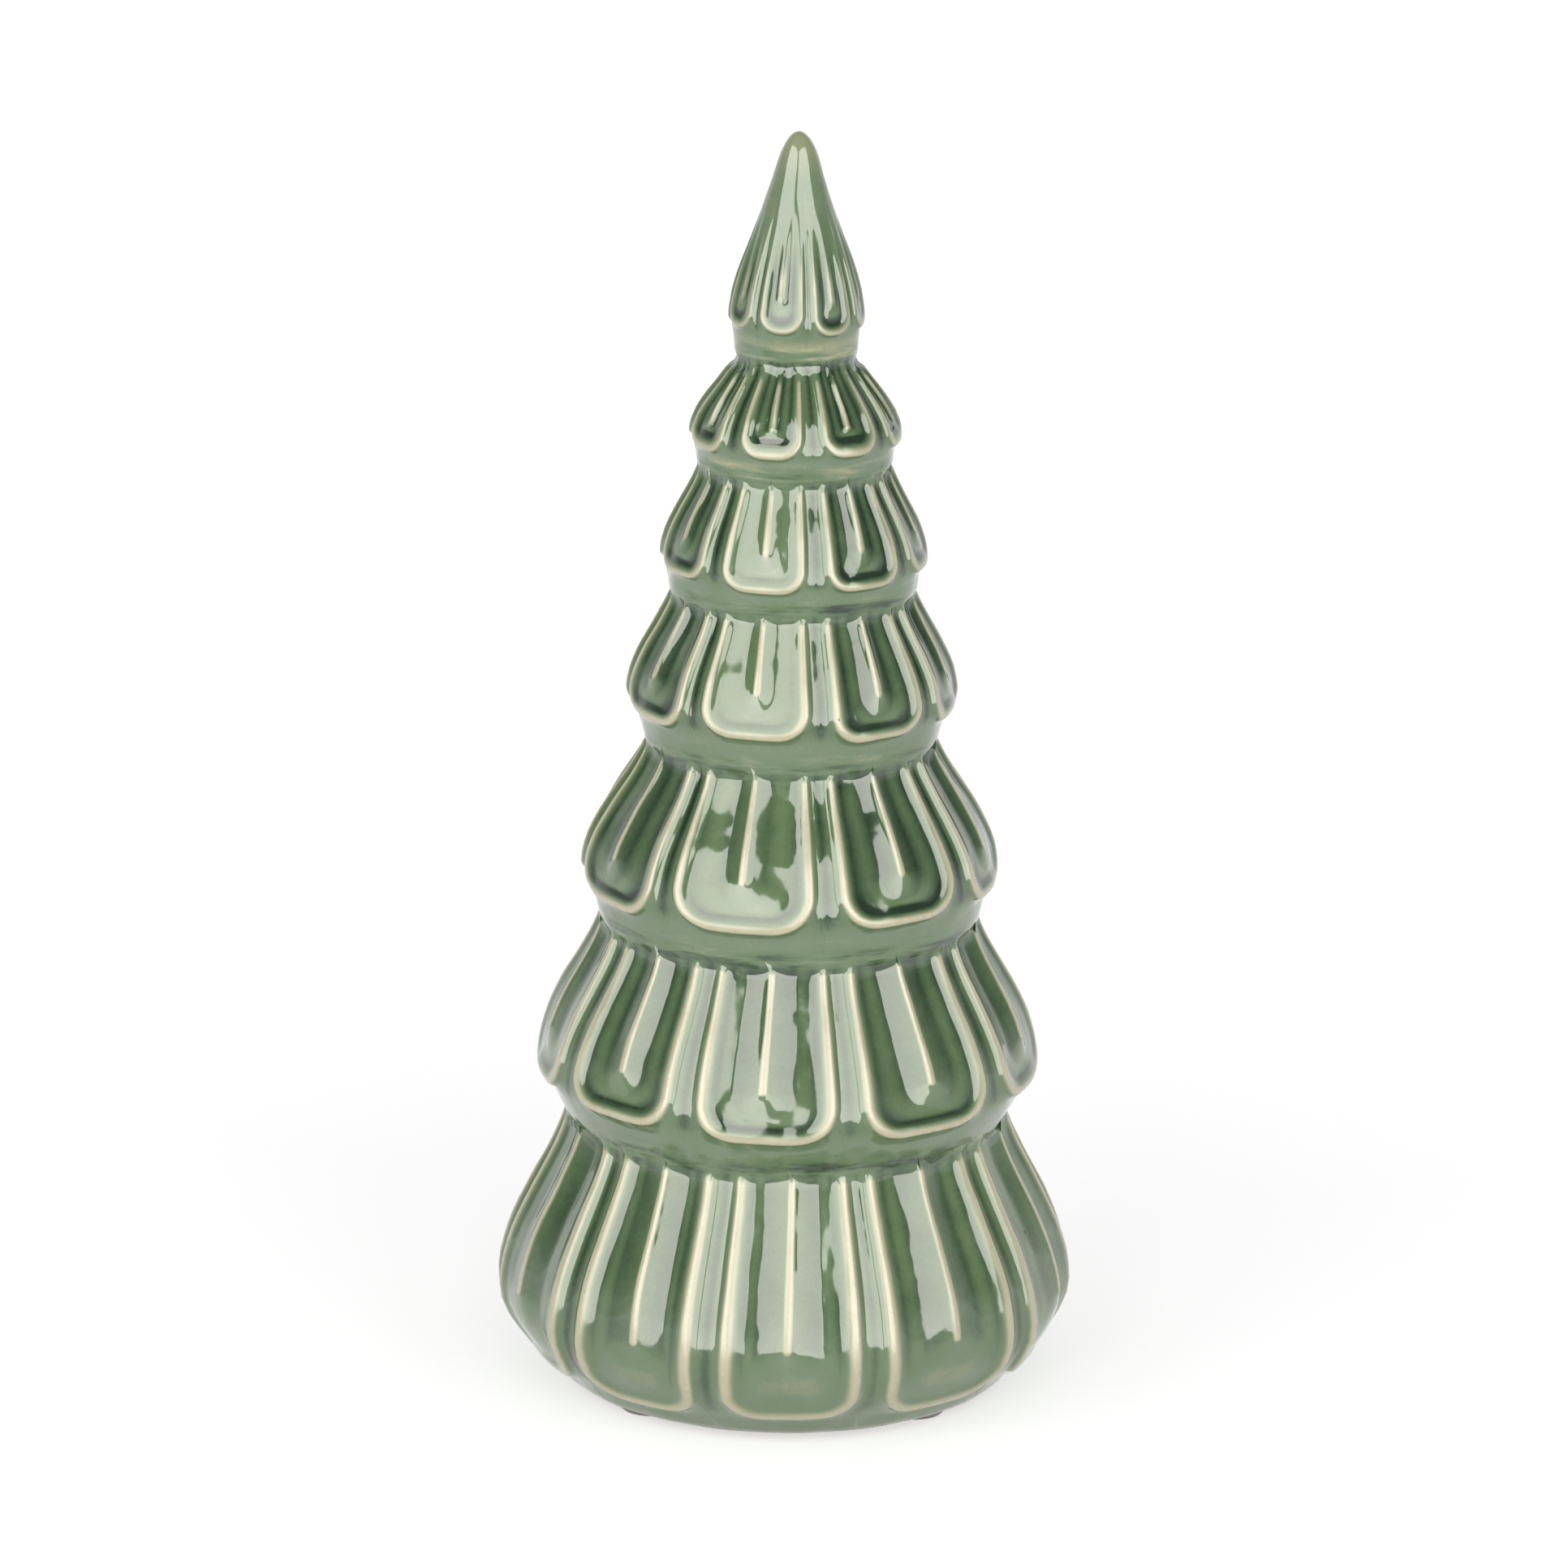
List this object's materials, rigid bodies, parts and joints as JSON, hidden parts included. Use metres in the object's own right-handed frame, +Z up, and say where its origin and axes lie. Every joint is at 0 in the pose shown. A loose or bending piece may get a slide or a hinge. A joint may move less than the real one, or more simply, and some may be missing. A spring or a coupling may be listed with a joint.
{
  "type": "christmas tree figurine",
  "caption": "Glazed stoneware Christmas tree figurine: a hollow slip casting of stacked flared tiers with leaf relief, standing on felt pads",
  "frame": {"origin": "centre of the footprint, on the surface that the felt pads stand on", "axes": "+Z up through the tip, -Y towards the viewer of the picture, +X to the viewer's right"},
  "size_m": [0.0922, 0.0916, 0.2013],
  "materials": {
    "glazed_stoneware": "glossy translucent celadon glaze, moss green, breaking to cream on the raised lines and pooling dark green in the hollows; bare buff clay under the foot",
    "felt": "dense grey wool felt, self-adhesive, matt and slightly fuzzy"
  },
  "bodies": {
    "root": {"tree_shell": "glazed_stoneware", "felt_pad_1": "felt", "felt_pad_2": "felt", "felt_pad_3": "felt", "felt_pad_4": "felt"}
  },
  "joints": []
}
